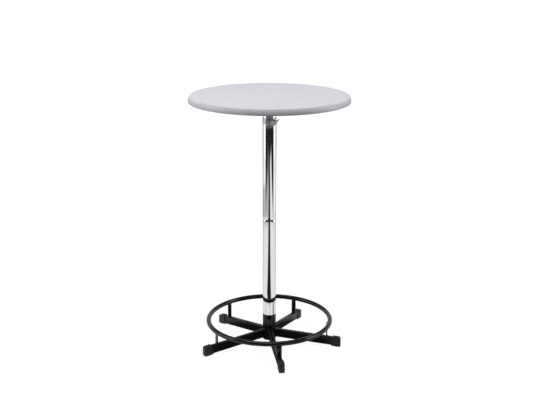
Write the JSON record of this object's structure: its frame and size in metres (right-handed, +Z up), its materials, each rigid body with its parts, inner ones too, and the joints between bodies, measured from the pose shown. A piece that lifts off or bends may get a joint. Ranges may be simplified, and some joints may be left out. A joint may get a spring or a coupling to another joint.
{
  "type": "pub table",
  "caption": "Tall round pub table: moulded top on a stub tube clamped by a wing screw in a chromed plug-together column, on a black star base with foot caps and a foot ring.",
  "frame": {"origin": "on the floor, on the column's axis", "axes": "+Z up along the column, -Y towards the viewer of the picture, +X to the viewer's right"},
  "size_m": [0.6999, 0.7, 1.15],
  "materials": {
    "top_board": "light grey melamine-faced moulded board, satin",
    "chrome": "polished chrome plate",
    "black_powder_coat": "black powder coat, semi-gloss",
    "cap_plastic": "black moulded plastic, fine grain",
    "zinc": "bright zinc plate",
    "clamp_grey": "satin die-cast metal",
    "plain_steel": "bare steel",
    "bush_plastic": "natural nylon",
    "pad_brass": "plain brass"
  },
  "bodies": {
    "base": {"coupling_spigot": "plain_steel", "lower_column_tube": "chrome", "column_plug": "plain_steel", "base_bolt": "zinc", "base_washer": "zinc", "hub_plate": "black_powder_coat", "hub_tube": "black_powder_coat", "foot_ring": "black_powder_coat", "leg_front": "black_powder_coat", "foot_cap_front": "cap_plastic", "ring_post_front": "black_powder_coat", "leg_right": "black_powder_coat", "foot_cap_right": "cap_plastic", "ring_post_right": "black_powder_coat", "leg_rear_right": "black_powder_coat", "foot_cap_rear_right": "cap_plastic", "ring_post_rear_right": "black_powder_coat", "leg_rear_left": "black_powder_coat", "foot_cap_rear_left": "cap_plastic", "ring_post_rear_left": "black_powder_coat", "leg_left": "black_powder_coat", "foot_cap_left": "cap_plastic", "ring_post_left": "black_powder_coat"},
    "upper_column": {"upper_column_tube": "chrome", "clamp_head": "clamp_grey", "guide_bush": "bush_plastic"},
    "top": {"table_top": "top_board", "top_spider": "black_powder_coat", "top_screws": "zinc", "stub_tube": "chrome"},
    "thrust_pad": {"thrust_pad": "pad_brass"},
    "wing_screw": {"wing_screw": "zinc"}
  },
  "joints": [
    {"name": "upper_column_lift", "type": "slide", "parent": "base", "child": "upper_column", "axis": [0, 0, 1], "range_m": [0, 0.14]},
    {"name": "top_height_slide", "type": "slide", "parent": "upper_column", "child": "top", "axis": [0, 0, 1], "range_m": [-0.035, 0.09]},
    {"name": "thrust_pad_slide", "type": "slide", "parent": "upper_column", "child": "thrust_pad", "axis": [0.5592, -0.829, 0], "range_m": [0, 0.00156]},
    {"name": "wing_screw_turn", "type": "hinge", "parent": "thrust_pad", "child": "wing_screw", "pos_m": [0, 0, 1.0395], "axis": [0.5592, -0.829, 0], "range_deg": [0, 450]}
  ],
  "couplings": [
    {"joint": "wing_screw_turn", "follows": "thrust_pad_slide", "rad_per_m": 5026.5}
  ]
}
